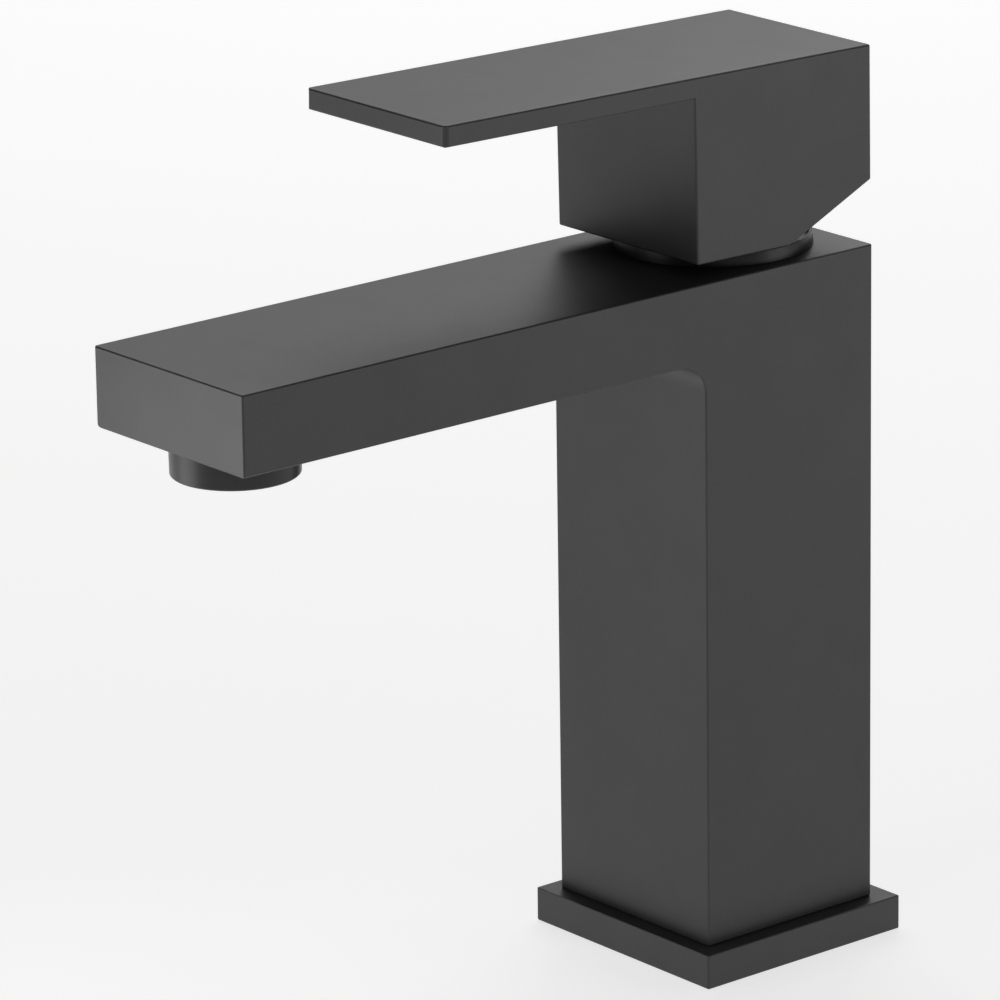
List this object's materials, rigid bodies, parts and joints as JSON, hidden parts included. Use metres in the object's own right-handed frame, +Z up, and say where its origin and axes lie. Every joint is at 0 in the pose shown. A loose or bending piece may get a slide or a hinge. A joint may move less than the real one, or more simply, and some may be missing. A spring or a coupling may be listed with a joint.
{
  "type": "bathroom mixer faucet",
  "caption": "Square single-lever basin mixer with a flat spout, a column on a base plate, and a flat lever that lifts for flow and turns for temperature.",
  "frame": {"origin": "on the deck plane, at the centre of the tap hole under the column", "axes": "+Z up the column, -Y from the column towards the spout's tip, +X to the user's right, the cold side"},
  "size_m": [0.05, 0.1526, 0.1758],
  "materials": {
    "black_finish": "satin matte black coating on brass",
    "black_trim": "smooth matte black coating",
    "brass": "machined brass",
    "steel": "turned steel",
    "rubber": "moulded rubber",
    "ceramic": "ground alumina",
    "cartridge_plastic": "moulded acetal",
    "aerator_plastic": "moulded acetal",
    "red_plastic": "moulded red acetal",
    "index_plastic": "moulded button, red on the hot side and blue on the cold side"
  },
  "bodies": {
    "mixer_body": {"body_shell": "black_finish", "base_plate": "black_finish", "base_gasket": "rubber", "foot_o_ring": "rubber", "inlet_block": "brass", "cold_riser_tube": "brass", "hot_riser_tube": "brass", "riser_o_rings": "rubber", "seat_seals": "rubber", "cartridge_base": "cartridge_plastic", "disc_seals": "rubber", "fixed_ceramic_disc": "ceramic", "cartridge_housing": "cartridge_plastic", "cartridge_nut": "brass", "temperature_limit_ring": "red_plastic", "cover_ring": "black_trim", "cover_ring_o_ring": "rubber", "aerator_housing": "black_trim", "aerator_insert": "aerator_plastic", "aerator_washer": "rubber"},
    "carrier": {"stem_carrier": "cartridge_plastic", "pivot_pin": "steel", "carrier_o_ring": "rubber"},
    "lever": {"stem": "steel", "handle": "black_finish", "handle_screw": "steel", "index_plug": "index_plastic"},
    "disc": {"disc_driver": "cartridge_plastic", "moving_ceramic_disc": "ceramic"}
  },
  "joints": [
    {"name": "temperature_turn", "type": "hinge", "parent": "mixer_body", "child": "carrier", "pos_m": [0, 0, 0.124], "axis": [0, 0, 1], "range_deg": [-45, 45]},
    {"name": "flow_lift", "type": "hinge", "parent": "carrier", "child": "lever", "pos_m": [0, 0, 0.124], "axis": [-1, 0, 0], "range_deg": [0, 25]},
    {"name": "disc_slide", "type": "slide", "parent": "carrier", "child": "disc", "axis": [0, -1, 0], "range_m": [0, 0.00465]}
  ],
  "couplings": [
    {"joint": "disc_slide", "follows": "flow_lift", "m_per_rad": 0.010654}
  ]
}
